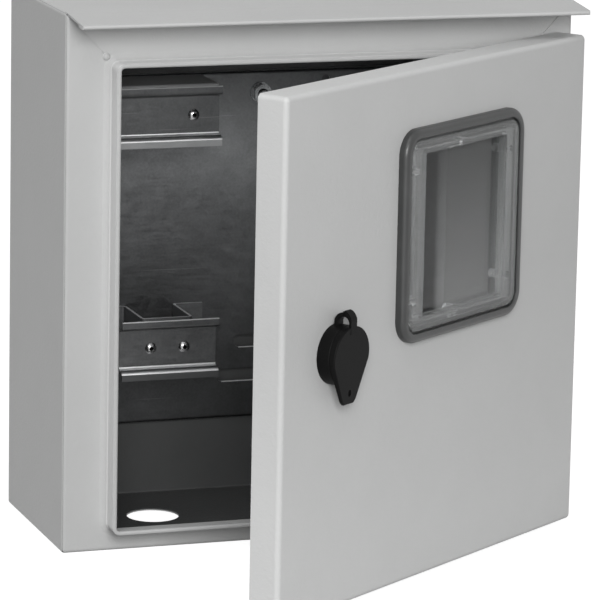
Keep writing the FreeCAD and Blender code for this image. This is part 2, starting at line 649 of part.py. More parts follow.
def cover_base():
    """Moulded base of the dust cover, trapped under the lock's head, with its half of the strap."""
    body = disc(COVER_RADIUS, COVER_BASE_HEIGHT, 0)
    front_edge = [edge for edge in body.Edges if edge.BoundBox.YMax < -COVER_BASE_HEIGHT + 0.1]
    body = body.makeFillet(COVER_EDGE, front_edge)
    well = disc(LOCK_HEAD_RADIUS + 2 * BARREL_GAP, COVER_BASE_HEIGHT + 1, COVER_SEAT)
    fold = STRAP_FOLD - COVER_GAP / 2
    root = COVER_RADIUS - 2 * STRAP_THICKNESS
    knee = STRAP_REST + STRAP_THICKNESS
    spring = STRAP_TOP - STRAP_ARCH
    under = STRAP_TOP - STRAP_THICKNESS
    strap = strap_side((STRAP_REST, root), (STRAP_REST, spring),
                       arch((STRAP_REST, spring), (fold, STRAP_TOP)), (fold, under),
                       arch((fold, under), (knee, spring)), (knee, root))
    shape = body.fuse([strap, strap_bead(STRAP_BEAD)])
    shape = shape.cut([well, thread_shape(COVER_SEAT + 1, -1, BARREL_GAP)])
    return on_door(shape.removeSplitter(), LOCK_X, LOCK_Z)


def arch(start, end):
    """Arc from an upright leg to a level top, or back, as a step of an outline."""
    low, high = sorted((start, end), key=lambda point: point[1])
    share = math.sqrt(0.5)
    middle = (high[0] + share * (low[0] - high[0]), low[1] + share * (high[1] - low[1]))
    return (middle, end)


def strap_side(*outline):
    """Half of the cover's strap from its side view: points are (forward of the door, up)."""
    def turned(step):
        if isinstance(step[0], tuple):
            return tuple(turned(point) for point in step)
        return (step[1], step[0])
    face = profile(*[turned(step) for step in outline])
    face.rotate(V(0, 0, 0), V(0, 1, 0), -90)
    return moved(face, -STRAP_WIDTH / 2).extrude(V(STRAP_WIDTH, 0, 0))


def strap_bead(radius):
    """Round bar along the line that the cover turns about."""
    start = V(-STRAP_WIDTH / 2, -STRAP_FOLD, STRAP_TOP + STRAP_PIVOT)
    return Part.makeCylinder(radius, STRAP_WIDTH, start, V(1, 0, 0))


def cover_front(z):
    """Distance of the cover's front from the door's face at a height from the lock's middle."""
    return COVER_FRONT + z * math.tan(math.radians(COVER_SLOPE))


def lock_cover():
    """Flap over the key slot: a disc that runs down into a finger tongue, with its half of the strap."""
    side = math.degrees(math.asin(TONGUE_HALF_TIP / COVER_RADIUS)) / 2
    left = on_arc((0, 0), COVER_RADIUS, 180 + side)
    right = on_arc((0, 0), COVER_RADIUS, -side)
    low = -TONGUE_REACH + TONGUE_CORNER
    tip = TONGUE_HALF_TIP - TONGUE_CORNER
    outline = profile(left, (on_arc((0, 0), COVER_RADIUS, 90), right), (TONGUE_HALF_TIP, low),
                      (tip, -TONGUE_REACH), (-tip, -TONGUE_REACH), (-TONGUE_HALF_TIP, low))
    outline.rotate(V(0, 0, 0), V(1, 0, 0), -90)
    deep = 2 * COVER_FRONT
    flap = moved(outline.extrude(V(0, deep, 0)), 0, -COVER_BACK - deep)
    over = block((-2 * COVER_RADIUS, -COVER_FRONT - deep, -3 * COVER_RADIUS),
                 (2 * COVER_RADIUS, -COVER_FRONT, 3 * COVER_RADIUS))
    over.rotate(V(0, -COVER_FRONT, 0), V(1, 0, 0), COVER_SLOPE)
    flap = flap.cut(over)
    front_edges = [edge for edge in flap.Edges if edge.BoundBox.YMax < -COVER_BACK - COVER_GAP]
    flap = flap.makeFillet(COVER_EDGE, front_edges)
    seal_slot = slot(TONGUE_SLOT_HEIGHT, TONGUE_SLOT_WIDTH, deep, 0, 0, 0)
    seal_slot.rotate(V(0, 0, 0), V(0, 1, 0), 90)
    fold = STRAP_FOLD + COVER_GAP / 2
    front = cover_front(COVER_RADIUS)
    knee = front - STRAP_FRONT
    root = COVER_RADIUS - 2 * STRAP_THICKNESS
    spring = STRAP_TOP - STRAP_ARCH
    under = STRAP_TOP - STRAP_THICKNESS
    peak = (front - STRAP_BROW, STRAP_TOP + STRAP_HUMP)
    strap = strap_side((knee, root), (knee, spring), arch((knee, spring), (fold, under)),
                       (fold, STRAP_TOP), peak, arch(peak, (front, spring)), (front, root))
    strap = strap.cut(strap_bead(STRAP_BEAD + COVER_GAP))
    shape = flap.fuse(strap).cut(moved(seal_slot, 0, 0, -TONGUE_SLOT_DROP))
    return on_door(shape.removeSplitter(), LOCK_X, LOCK_Z)


def stud_places():
    side = PANEL_HALF_W - STUD_FROM_SIDE
    low = PANEL_LOW + STUD_FROM_BOTTOM
    return ((0.0, PANEL_HIGH - STUD_FROM_TOP), (-side, low), (side, low))


def many(make):
    """One compound of equal pieces at the panel's studs."""
    return Part.makeCompound([make(x, z) for x, z in stud_places()])


def mounting_panel():
    """Galvanised panel folded back along its top and bottom, with slots for a meter."""
    thick = PANEL_SHEET
    deep = SHEET + PANEL_WALL_GAP
    face = profile((PANEL_LOW, deep), (PANEL_LOW, PANEL_FACE), (PANEL_HIGH, PANEL_FACE), (PANEL_HIGH, deep),
                   (PANEL_HIGH - thick, deep), (PANEL_HIGH - thick, PANEL_FACE - thick),
                   (PANEL_LOW + thick, PANEL_FACE - thick), (PANEL_LOW + thick, deep))
    face.rotate(V(0, 0, 0), V(0, 1, 0), -90)
    plate = moved(face, -PANEL_HALF_W).extrude(V(2 * PANEL_HALF_W, 0, 0))
    along = edges_along(plate, V(1, 0, 0))
    outer = [edge for edge in along if abs(edge.BoundBox.YMin + PANEL_FACE) < 0.01]
    plate = plate.makeFillet(PANEL_FOLD + thick, outer)
    along = edges_along(plate, V(1, 0, 0))
    inner = [edge for edge in along if abs(edge.BoundBox.YMin + PANEL_FACE - thick) < 0.01]
    plate = plate.makeFillet(PANEL_FOLD, inner)
    front, back = PANEL_FACE + 1, PANEL_FACE - thick - 1
    cuts = [disc(STUD_RADIUS + STUD_HOLE_GAP, front, back, x, z) for x, z in stud_places()]
    cuts.append(slot(UPPER_SLOT_LENGTH, SLOT_HEIGHT, front, back, METER_X, PANEL_LOW + UPPER_SLOT_RISE))
    cuts.append(slot(LOWER_SLOT_LENGTH, SLOT_HEIGHT, front, back, METER_X, PANEL_LOW + LOWER_SLOT_RISE))
    upright = slot(HOOK_SLOT_HEIGHT, HOOK_SLOT_WIDTH, front, back, 0, 0)
    upright.rotate(V(0, 0, 0), V(0, 1, 0), 90)
    cuts.append(moved(upright, METER_X, 0, PANEL_HIGH - HOOK_SLOT_DROP))
    return plate.cut(cuts)


def panel_studs():
    return many(lambda x, z: disc(STUD_RADIUS, SHEET + STUD_LENGTH, SHEET, x, z))


def panel_spacers():
    def spacer(x, z):
        tube = disc(SPACER_RADIUS, PANEL_FACE - PANEL_SHEET, SHEET, x, z)
        return tube.cut(disc(STUD_RADIUS + STUD_HOLE_GAP, PANEL_FACE, 0, x, z))
    return many(spacer)


def washer(x, z, face):
    ring_shape = disc(WASHER_RADIUS, face + WASHER_HEIGHT, face, x, z)
    return ring_shape.cut(disc(STUD_RADIUS + STUD_HOLE_GAP, face + 2 * WASHER_HEIGHT, face - 1, x, z))


def nut(x, z, face):
    """Hexagon nut with its outer corners turned off."""
    front = face + NUT_HEIGHT
    hexa = hexagon(NUT_FLATS, front, face, x, z)
    corner = NUT_FLATS / math.sqrt(3) - NUT_CHAMFER
    cone = Part.makeCone(corner, corner + NUT_HEIGHT, NUT_HEIGHT, V(x, -front, z), V(0, 1, 0))
    return hexa.common(cone).cut(disc(STUD_RADIUS, front + 1, face - 1, x, z))


def panel_washers():
    return many(lambda x, z: washer(x, z, PANEL_FACE))


def panel_nuts():
    return many(lambda x, z: nut(x, z, PANEL_FACE + WASHER_HEIGHT))


def din_rail(length, x, z, holes):
    """Top-hat rail lying along X, its web against the bracket."""
    mouth = RAIL_MOUTH / 2
    web = mouth - RAIL_TAPER
    half = RAIL_WIDTH / 2
    top = RAIL_HEIGHT
    face = profile((-web, 0), (web, 0), (mouth, top - RAIL_SHEET), (half, top - RAIL_SHEET), (half, top),
                   (mouth - RAIL_SHEET, top), (web - RAIL_SHEET, RAIL_SHEET),
                   (RAIL_SHEET - web, RAIL_SHEET), (RAIL_SHEET - mouth, top),
                   (-half, top), (-half, top - RAIL_SHEET), (-mouth, top - RAIL_SHEET))
    face.rotate(V(0, 0, 0), V(0, 1, 0), -90)
    rail = moved(face, x - length / 2, -RAIL_SEAT, z).extrude(V(length, 0, 0))
    inner, outer = [], []
    for edge in edges_along(rail, V(1, 0, 0)):
        forward = -RAIL_SEAT - edge.BoundBox.YMax
        across = abs(edge.BoundBox.ZMin - z)
        if abs(across - half) > 0.01:
            tight = abs(forward - RAIL_SHEET) < 0.01 or abs(forward - top + RAIL_SHEET) < 0.01
            (inner if tight else outer).append(edge)
    rail = rail.makeFillet(RAIL_FOLD, inner)
    loose = []
    for edge in edges_along(rail, V(1, 0, 0)):
        forward = -RAIL_SEAT - edge.BoundBox.YMax
        across = abs(edge.BoundBox.ZMin - z)
        at_back = abs(forward) < 0.01 and abs(across - web) < 0.01
        at_mouth = abs(forward - top) < 0.01 and abs(across - mouth + RAIL_SHEET) < 0.01
        if at_back or at_mouth:
            loose.append(edge)
    rail = rail.makeFillet(RAIL_FOLD + RAIL_SHEET, loose)
    bore = RIVET_SHANK + RIVET_GAP
    bores = [disc(bore, RAIL_SEAT + 2 * RAIL_SHEET, RAIL_SEAT - 1, hole, z) for hole in holes]
    return rail.cut(bores)


def rivet_places(x, pitch):
    return (x - pitch / 2, x + pitch / 2)


def rivets(places, z):
    """Domed rivets with an eye, headed on the rail and set behind the bracket."""
    shapes = []
    face = RAIL_SEAT + RAIL_SHEET
    back = RAIL_SEAT - BRACKET_SHEET
    for x in places:
        ball = (RIVET_HEAD ** 2 + RIVET_RISE ** 2) / (2 * RIVET_RISE)
        dome = Part.makeSphere(ball, V(x, -face - RIVET_RISE + ball, z))
        dome = dome.common(disc(RIVET_HEAD, face + RIVET_RISE + 1, face, x, z))
        shank = disc(RIVET_SHANK, face + RIVET_RISE / 2, back, x, z)
        tail = disc(RIVET_TAIL, back, back - RIVET_TAIL / 2, x, z)
        rear = [edge for edge in tail.Edges if edge.BoundBox.YMin > -back + 0.1]
        tail = tail.makeFillet(RIVET_TAIL / 4, rear)
        eye = disc(RIVET_EYE, face + RIVET_RISE + 1, back + 1, x, z)
        shapes.append(dome.fuse([shank, tail]).cut(eye).removeSplitter())
    return Part.makeCompound(shapes)


def bracket_bores(places, z):
    bore = RIVET_SHANK + RIVET_GAP
    return [disc(bore, RAIL_SEAT + 1, RAIL_SEAT - BRACKET_SHEET - 1, x, z) for x in places]


def folded_sheet(bracket, outer, inner, direction):
    """Round the outsides of a bracket's folds, then their insides."""
    bracket = bracket.makeFillet(BRACKET_FOLD + BRACKET_SHEET, outer)
    inner = [edge for edge in edges_along(bracket, direction) if any(same_line(edge, old) for old in inner)]
    return bracket.makeFillet(BRACKET_FOLD, inner)


def lower_rail_bracket():
    """Hat-shaped bracket: two feet on the panel, two upright legs and a front plate."""
    places = rivet_places(LOWER_RAIL_X, LOWER_RIVET_PITCH)
    middle = LOWER_RAIL_X
    half = HAT_WIDTH / 2
    foot = half + HAT_FOOT
    deep = PANEL_FACE
    top = RAIL_SEAT
    thick = BRACKET_SHEET
    face = profile((-foot, deep), (-foot, deep + thick), (-half, deep + thick), (-half, top), (half, top),
                   (half, deep + thick), (foot, deep + thick), (foot, deep), (half - thick, deep),
                   (half - thick, top - thick), (thick - half, top - thick), (thick - half, deep))
    hat = moved(face, middle, 0, LOWER_RAIL_Z - RAIL_WIDTH / 2).extrude(V(0, 0, RAIL_WIDTH))
    outer, inner = [], []
    for edge in edges_along(hat, V(0, 0, 1)):
        forward = -edge.BoundBox.YMin
        near_leg = abs(edge.BoundBox.XMin - middle) < half + 0.01
        if abs(forward - top) < 0.01 or (abs(forward - deep) < 0.01 and near_leg):
            outer.append(edge)
        elif abs(forward - top + thick) < 0.01 or (abs(forward - deep - thick) < 0.01 and near_leg):
            inner.append(edge)
    hat = folded_sheet(hat, outer, inner, V(0, 0, 1))
    return hat.cut(bracket_bores(places, LOWER_RAIL_Z))


def upper_rail_bracket():
    """Shelf bracket: a foot on the panel, a level shelf and a front plate that hangs from it."""
    places = rivet_places(UPPER_RAIL_X, UPPER_RIVET_PITCH)
    top = UPPER_RAIL_Z + RAIL_WIDTH / 2
    low = UPPER_RAIL_Z - RAIL_WIDTH / 2
    thick = BRACKET_SHEET
    deep = PANEL_FACE
    face = profile((top - SHELF_FOOT, deep), (top, deep), (top, RAIL_SEAT), (low, RAIL_SEAT),
                   (low, RAIL_SEAT - thick), (top - thick, RAIL_SEAT - thick), (top - thick, deep + thick),
                   (top - SHELF_FOOT, deep + thick))
    face.rotate(V(0, 0, 0), V(0, 1, 0), -90)
    shelf = moved(face, UPPER_RAIL_X - UPPER_RAIL_LENGTH / 2).extrude(V(UPPER_RAIL_LENGTH, 0, 0))
    along = edges_along(shelf, V(1, 0, 0))
    outer = [edge for edge in along if abs(edge.BoundBox.ZMin - top) < 0.01]
    inner = [edge for edge in along if abs(edge.BoundBox.ZMin - top + thick) < 0.01]
    shelf = folded_sheet(shelf, outer, inner, V(1, 0, 0))
    return shelf.cut(bracket_bores(places, UPPER_RAIL_Z))


def earth_stud():
    return disc(STUD_RADIUS, SHEET + STUD_LENGTH, SHEET, EARTH_X, EARTH_Z)


def build():
    upper = rivet_places(UPPER_RAIL_X, UPPER_RIVET_PITCH)
    lower = rivet_places(LOWER_RAIL_X, LOWER_RIVET_PITCH)
    low_hinge, high_hinge = hinge_heights()
    return {
        "enclosure_shell": enclosure_shell(),
        "mounting_panel": mounting_panel(),
        "panel_studs": panel_studs(),
        "panel_spacers": panel_spacers(),
        "panel_washers": panel_washers(),
        "panel_nuts": panel_nuts(),
        "upper_rail_bracket": upper_rail_bracket(),
        "lower_rail_bracket": lower_rail_bracket(),
        "upper_din_rail": din_rail(UPPER_RAIL_LENGTH, UPPER_RAIL_X, UPPER_RAIL_Z, upper),
        "lower_din_rail": din_rail(LOWER_RAIL_LENGTH, LOWER_RAIL_X, LOWER_RAIL_Z, lower),
        "upper_rail_rivets": rivets(upper, UPPER_RAIL_Z),
        "lower_rail_rivets": rivets(lower, LOWER_RAIL_Z),
        "earth_stud": earth_stud(),
        "earth_washer": washer(EARTH_X, EARTH_Z, SHEET),
        "earth_nut": nut(EARTH_X, EARTH_Z, SHEET + WASHER_HEIGHT),
        "upper_case_hinge": case_hinge(high_hinge),
        "lower_case_hinge": case_hinge(low_hinge),
        "upper_hinge_pin": hinge_pin(high_hinge),
        "lower_hinge_pin": hinge_pin(low_hinge),
        "upper_door_hinge": door_hinge(high_hinge),
        "lower_door_hinge": door_hinge(low_hinge),
        "door_pan": door_pan(),
        "door_seal": door_seal(),
        "window_gasket": window_gasket(),
        "window_lens": window_lens(),
        "lock_housing": lock_housing(),
        "lock_nut": lock_nut(),
        "cover_base": cover_base(),
        "lock_cover": lock_cover(),
        "lock_barrel": lock_barrel(),
        "lock_cam": lock_cam(),
        "cam_bolt": cam_bolt(),
    }


def main():
    os.makedirs("parts", exist_ok=True)
    for name, shape in build().items():
        shape.exportStep("parts/" + name + ".step")
        print(name, len(shape.Solids), round(shape.Volume, 1), shape.isValid())


main()
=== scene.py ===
"""Outdoor electric meter box: materials, detail pieces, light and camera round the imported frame."""
import json
import math

import bmesh
import bpy
from mathutils import Matrix, Vector

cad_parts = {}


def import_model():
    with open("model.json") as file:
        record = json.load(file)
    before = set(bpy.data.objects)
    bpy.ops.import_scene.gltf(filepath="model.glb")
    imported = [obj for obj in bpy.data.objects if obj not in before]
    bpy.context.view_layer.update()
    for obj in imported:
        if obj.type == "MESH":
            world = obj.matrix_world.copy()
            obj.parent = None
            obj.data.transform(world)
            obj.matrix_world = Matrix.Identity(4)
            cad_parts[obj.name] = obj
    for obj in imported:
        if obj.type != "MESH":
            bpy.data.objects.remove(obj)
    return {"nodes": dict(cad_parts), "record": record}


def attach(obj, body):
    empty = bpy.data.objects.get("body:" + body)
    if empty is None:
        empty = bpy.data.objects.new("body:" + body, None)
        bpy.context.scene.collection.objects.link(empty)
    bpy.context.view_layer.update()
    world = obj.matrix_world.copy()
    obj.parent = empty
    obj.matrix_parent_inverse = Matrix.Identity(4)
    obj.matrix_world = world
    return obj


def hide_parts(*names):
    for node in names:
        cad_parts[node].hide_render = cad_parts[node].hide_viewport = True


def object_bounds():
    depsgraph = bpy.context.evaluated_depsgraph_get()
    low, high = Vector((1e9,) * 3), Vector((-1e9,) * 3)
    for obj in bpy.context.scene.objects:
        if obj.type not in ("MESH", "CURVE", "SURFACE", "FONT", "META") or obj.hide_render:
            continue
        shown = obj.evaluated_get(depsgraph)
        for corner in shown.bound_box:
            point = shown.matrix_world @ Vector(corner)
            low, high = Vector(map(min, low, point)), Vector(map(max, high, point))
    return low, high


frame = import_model()
CAD_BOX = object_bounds()
NODES = frame["nodes"]

# Metres in the part's frame.
OPEN = math.radians(36.0)               # how far the resting door stands open
PIN = Vector((0.140, -0.128, 0.0))      # hinge pins' axis
WINDOW = (0.01735, 0.0449)              # pane's middle on the shut door
PANE = (0.0403, 0.0451)                 # its half width and half height
UPPER_RAIL, LOWER_RAIL = 0.0815, -0.0548
RAIL_LIPS = (-0.0520, -0.0485)          # depths between which a rail's lips lie
RAIL_WEB = (-0.0465, -0.0438)           # and its web
METER_X = 0.0407                        # middle of the meter's slots

# Colours. Pairs name the darker tone first.
COAT = ((0.460, 0.463, 0.461), (0.488, 0.491, 0.489))
# Painted shade inside the case, darker at the left than at the right.
PAINTED_SHADE_LEFT = ((0.045, 0.046, 0.046), (0.057, 0.058, 0.058))
PAINTED_SHADE_RIGHT = ((0.078, 0.08, 0.08), (0.098, 0.1, 0.1))
# Painted light on the outer walls of the rim round the opening.
RIM_PAINTED_LIGHT = (0.84, 0.844, 0.841)
# Painted shade in the rivets' eyes.
EYE_PAINTED_SHADE = (0.004, 0.004, 0.004)


# Materials

def new_material(name):
    """A fresh node material. Returns it with its tree and its Principled shader."""
    material = bpy.data.materials.new(name)
    material.use_nodes = True
    tree = material.node_tree
    return material, tree, tree.nodes["Principled BSDF"]


def add(tree, kind, **values):
    """A node with its properties, or its input sockets, set by name."""
    node = tree.nodes.new(kind)
    for key, value in values.items():
        if key.startswith("in_"):
            node.inputs[key[3:].replace("_", " ")].default_value = value
        else:
            setattr(node, key, value)
    return node


def calculate(tree, operation, *values, kind="ShaderNodeMath", result=0):
    """The result of a math node over values, linked or plain."""
    node = add(tree, kind, operation=operation)
    for socket, value in zip(node.inputs, values):
        if isinstance(value, bpy.types.NodeSocket):
            tree.links.new(value, socket)
        else:
            socket.default_value = value
    return node.outputs[result]


def calculate_vector(tree, operation, *values, result="Vector"):
    """The same over vectors."""
    return calculate(tree, operation, *values, kind="ShaderNodeVectorMath", result=result)


def total(tree, first, second, weight):
    """first plus second times weight."""
    return calculate(tree, "MULTIPLY_ADD", second, weight, first)


def both(tree, first, second):
    """first times second, for two masks."""
    return calculate(tree, "MULTIPLY", first, second)


def place(tree, stretch=(1.0, 1.0, 1.0)):
    """Object coordinates, squeezed along the axes by stretch."""
    coords = add(tree, "ShaderNodeTexCoord")
    mapping = add(tree, "ShaderNodeMapping")
    mapping.inputs["Scale"].default_value = stretch
    tree.links.new(coords.outputs["Object"], mapping.inputs["Vector"])
    return mapping.outputs["Vector"]


def parts(tree, vector):
    """The X, Y and Z sockets of a vector."""
    split = add(tree, "ShaderNodeSeparateXYZ")
    tree.links.new(vector, split.inputs[0])
    return split.outputs


def noise(tree, scale, detail, rough, stretch=(1.0, 1.0, 1.0)):
    """Soft random values of about 0.25 to 0.75."""
    node = add(tree, "ShaderNodeTexNoise", in_Scale=scale, in_Detail=detail, in_Roughness=rough)
    tree.links.new(place(tree, stretch), node.inputs["Vector"])
    return node.outputs["Fac"]


def crystals(tree, scale):
    """Three random values for each crystal patch."""
    node = add(tree, "ShaderNodeTexVoronoi", in_Scale=scale)
    tree.links.new(place(tree), node.inputs["Vector"])
    values = add(tree, "ShaderNodeSeparateColor")
    tree.links.new(node.outputs["Color"], values.inputs["Color"])
    return values.outputs


def spread(tree, source, low, high, from_low=0.25, from_high=0.75):
    """Carry a texture value to a range of numbers."""
    node = add(tree, "ShaderNodeMapRange")
    for socket, value in (("From Min", from_low), ("From Max", from_high), ("To Min", low), ("To Max", high)):
        node.inputs[socket].default_value = value
    tree.links.new(source, node.inputs["Value"])
    return node.outputs["Result"]


def mix(tree, kind, factor, first, second):
    """Blend two values or colours, linked or plain, of a data type."""
    node = add(tree, "ShaderNodeMix", data_type=kind)
    tree.links.new(factor, node.inputs["Factor"])
    for name, value in (("A", first), ("B", second)):
        if isinstance(value, tuple):
            node.inputs[name].default_value = (*value, 1.0)
        elif isinstance(value, float):
            node.inputs[name].default_value = value
        else:
            tree.links.new(value, node.inputs[name])
    return node.outputs["Result"]


def mix_colours(tree, factor, first, second):
    """Blend two colours, linked or plain."""
    return mix(tree, "RGBA", factor, first, second)


def shaded(tones, share):
    """A pair of tones, each times a share."""
    return [tuple(share * part for part in tone) for tone in tones]


def bump(tree, shader, height, distance, strength, normal=None):
    """Raise the shader's surface by a texture, over its own normal or a linked one."""
    node = add(tree, "ShaderNodeBump", in_Strength=strength, in_Distance=distance)
    if normal:
        tree.links.new(normal, node.inputs["Normal"])
    tree.links.new(height, node.inputs["Height"])
    tree.links.new(node.outputs["Normal"], shader.inputs["Normal"])


def band(tree, source, low, high):
    """1 where a value lies between two limits, else 0."""
    above = calculate(tree, "GREATER_THAN", source, low)
    below = calculate(tree, "LESS_THAN", source, high)
    return both(tree, above, below)


def within(tree, vector, low, high):
    """1 inside a box, else 0. A limit of None is left open."""
    sockets = parts(tree, vector)
    result = None
    for axis in range(3):
        if low[axis] is None:
            continue
        test = band(tree, sockets[axis], low[axis], high[axis])
        result = test if result is None else both(tree, result, test)
    return result


def facing(tree, axis, least):
    """1 where the surface faces along an axis of the object, either way, else 0."""
    normal = add(tree, "ShaderNodeTexCoord").outputs["Normal"]
    size = calculate(tree, "ABSOLUTE", parts(tree, normal)[axis])
    return band(tree, size, least, 2.0)


def eased(tree, middle, zone, lean):
    """Mask of the upright walls in a zone that face away from its middle, and the normals of those
    walls and their bends leaned towards the front, as in a soft pressing."""
    coords = add(tree, "ShaderNodeTexCoord").outputs
    normal = coords["Normal"]
    away = calculate_vector(tree, "SUBTRACT", coords["Object"], middle)
    level = calculate_vector(tree, "MULTIPLY", away, (1.0, 0.0, 1.0))
    along = calculate_vector(tree, "DOT_PRODUCT", level, normal, result="Value")
    turned = both(tree, within(tree, place(tree), *zone), spread(tree, along, 0.0, 1.0, 0.0, 0.06))
    frontal = calculate(tree, "ABSOLUTE", parts(tree, normal)["Y"])
    upright = both(tree, turned, spread(tree, frontal, 1.0, 0.0, 0.15, 0.45))
    forward = add(tree, "ShaderNodeCombineXYZ")
    tree.links.new(spread(tree, turned, 0.0, -lean, 0.0, 1.0), forward.inputs["Y"])
    leaned = calculate_vector(tree, "ADD", normal, forward.outputs["Vector"])
    return upright, calculate_vector(tree, "NORMALIZE", leaned)


def powder_coat(name, shade=1.0, inside=None, rim=None, foot=1.0):
    """Light grey powder coat: a fine orange peel with a little cloudiness in colour and gloss. Its tones are
    times the shade share, which above 1 makes a lit copy with painted light. The surfaces inside a box of two
    corners carry painted shade, darker at the left, the walls of a rim carry painted light, and painted light
    lightens the foot."""
    material, tree, shader = new_material(name)
    cloud = noise(tree, 14.0, 4.0, 0.6)
    grain = noise(tree, 900.0, 2.0, 0.6)
    clouds = spread(tree, cloud, 0.0, 1.0)
    tones = shaded(COAT, shade)
    colour = mix_colours(tree, clouds, *tones)
    # Painted light: the coat lightens towards the foot by the foot share.
    if foot != 1.0:
        height = parts(tree, place(tree))["Z"]
        painted_shading = mix_colours(tree, clouds, *shaded(tones, foot))
        colour = mix_colours(tree, spread(tree, height, 1.0, 0.0, -0.12, 0.01), colour, painted_shading)
    # Painted shade over the surfaces inside the box, darker towards the left.
    if inside:
        across = parts(tree, place(tree))["X"]
        left, right = [mix_colours(tree, clouds, *pair) for pair in (PAINTED_SHADE_LEFT, PAINTED_SHADE_RIGHT)]
        painted_inside_shade = mix_colours(tree, spread(tree, across, 0.0, 1.0, -0.12, -0.02), left, right)
        colour = mix_colours(tree, within(tree, place(tree), *inside), colour, painted_inside_shade)
    normal = None
    if rim:
        wall, normal = eased(tree, *rim)
        # Painted light on the rim's walls.
        colour = mix_colours(tree, wall, colour, RIM_PAINTED_LIGHT)
    tree.links.new(colour, shader.inputs["Base Color"])
    tree.links.new(spread(tree, grain, 0.42, 0.54), shader.inputs["Roughness"])
    peel = noise(tree, 420.0, 2.0, 0.5)
    bump(tree, shader, total(tree, peel, grain, 0.6), 0.00022, 0.6, normal)
    shader.inputs["Specular IOR Level"].default_value = 0.35
    return material


def galvanised(name, tones, edge, cut_axes, spangle=170.0, metal=1.0, fade=(1.0, 1.0), painted_light_boxes=()):
    """Zinc-coated sheet: crystal patches, faint rolling lines and fine scratches. Cut edges, where the
    surface faces along one of the cut axes, have the brighter edge tone, partly bare cut steel and partly a
    painted highlight. Boxes of painted light have the edge tone too, or the tone that a box names after its
    two corners: painted highlights and shade. Painted shade and light run from the low share of its tones
    at the foot and the left to the high share under the upper rail, and fall off above it."""
    material, tree, shader = new_material(name)
    patches = crystals(tree, spangle)
    cloud = noise(tree, 13.0, 5.0, 0.6)
    speckle = noise(tree, 700.0, 2.0, 0.7)
    lines = noise(tree, 70.0, 3.0, 0.5, (1.0, 1.0, 12.0))
    scratch = spread(tree, noise(tree, 9.0, 2.0, 0.4, (1.0, 1.0, 55.0)), 0.0, 1.0, 0.73, 0.76)
    mixed = total(tree, total(tree, cloud, patches["Red"], 0.07), lines, 0.12)
    mixed = total(tree, total(tree, mixed, speckle, 0.34), scratch, 0.5)
    value = spread(tree, mixed, 0.0, 1.0, 0.45, 1.10)
    low, high = [mix_colours(tree, value, *shaded(tones, share)) for share in fade]
    # Painted shade and light: darker towards the foot and the left, lightest under the upper rail.
    where = parts(tree, place(tree))
    rise = spread(tree, total(tree, where["Z"], where["X"], 0.5), 0.0, 1.0, -0.078, 0.045)
    fall = spread(tree, where["Z"], 1.0, 0.35, 0.05, 0.085)
    colour = mix_colours(tree, calculate(tree, "MINIMUM", rise, fall), low, high)
    # Cut edges: partly bare steel, partly a painted highlight.
    for axis in cut_axes:
        colour = mix_colours(tree, facing(tree, axis, 0.9), colour, edge)
    # Boxes of painted highlight and shade.
    for box in painted_light_boxes:
        tone = box[2] if len(box) > 2 else edge
        colour = mix_colours(tree, within(tree, place(tree), *box[:2]), colour, tone)
    tree.links.new(colour, shader.inputs["Base Color"])
    gloss = total(tree, total(tree, lines, patches["Green"], 0.25), speckle, 0.4)
    tree.links.new(spread(tree, gloss, 0.34, 0.50, 0.4, 1.2), shader.inputs["Roughness"])
    shader.inputs["Metallic"].default_value = metal
    grain = total(tree, total(tree, lines, patches["Blue"], 0.2), speckle, 0.5)
    bump(tree, shader, grain, 0.00005, 0.45)
    return material


def rail_steel(name, middle, lip, top):
    """Zinc of one rail, with painted highlights along its lower bend and the top of its lower lip, and
    painted light of tones of their own on the rest of that lip and along the rail's top edge."""
    bend, lip_top, lip_foot = middle - 0.0103, middle - 0.0138, middle - 0.0178
    web, lips = RAIL_WEB, RAIL_LIPS
    # Painted highlights on the lower bend and lip top, painted light on the lower lip and the top edge.
    boxes = [((-1.0, web[0], lip_top), (1.0, web[1], bend)),
             ((-1.0, lips[0], lip_foot), (1.0, lips[1], lip_top), lip),
             ((-1.0, lips[0], lip_top), (1.0, lips[1], middle - 0.0122)),
             ((-1.0, lips[0], middle + 0.0169), (1.0, web[1], middle + 0.0178), top)]
    tones = ((0.09, 0.092, 0.094), (0.20, 0.203, 0.206))
    return galvanised(name, tones, (0.80, 0.805, 0.81), (0,), spangle=320.0, painted_light_boxes=boxes)


def plated(name, tones, gloss, eyes=()):
    """Plated or bare small metal: turned marks, fine pits and uneven gloss, and painted shade in each eye, a
    place across the front that is (x, z, half size, front)."""
    material, tree, shader = new_material(name)
    cloud = noise(tree, 160.0, 4.0, 0.6)
    marks = noise(tree, 1500.0, 2.0, 0.6)
    colour = mix_colours(tree, spread(tree, cloud, 0.0, 1.0), *tones)
    # Painted shade in each eye.
    for x, z, half, front in eyes:
        box = ((x - half, front, z - half), (x + half, 0.0, z + half))
        colour = mix_colours(tree, within(tree, place(tree), *box), colour, EYE_PAINTED_SHADE)
    tree.links.new(colour, shader.inputs["Base Color"])
    tree.links.new(spread(tree, marks, *gloss), shader.inputs["Roughness"])
    shader.inputs["Metallic"].default_value = 1.0
    bump(tree, shader, marks, 0.00003, 0.4)
    return material


def moulded(name, tones, gloss, grain=1400.0, depth=0.00004):
    """Moulded rubber or plastic: fine grain, soft clouds and scuffed gloss."""
    material, tree, shader = new_material(name)
    cloud = noise(tree, 60.0, 4.0, 0.6)
    fine = noise(tree, grain, 3.0, 0.6)
    colour = mix_colours(tree, spread(tree, cloud, 0.0, 1.0), *tones)
    tree.links.new(colour, shader.inputs["Base Color"])
    scuffs = total(tree, fine, cloud, 0.4)
    tree.links.new(spread(tree, scuffs, *gloss, 0.3, 1.1), shader.inputs["Roughness"])
    bump(tree, shader, fine, depth, 0.5)
    return material


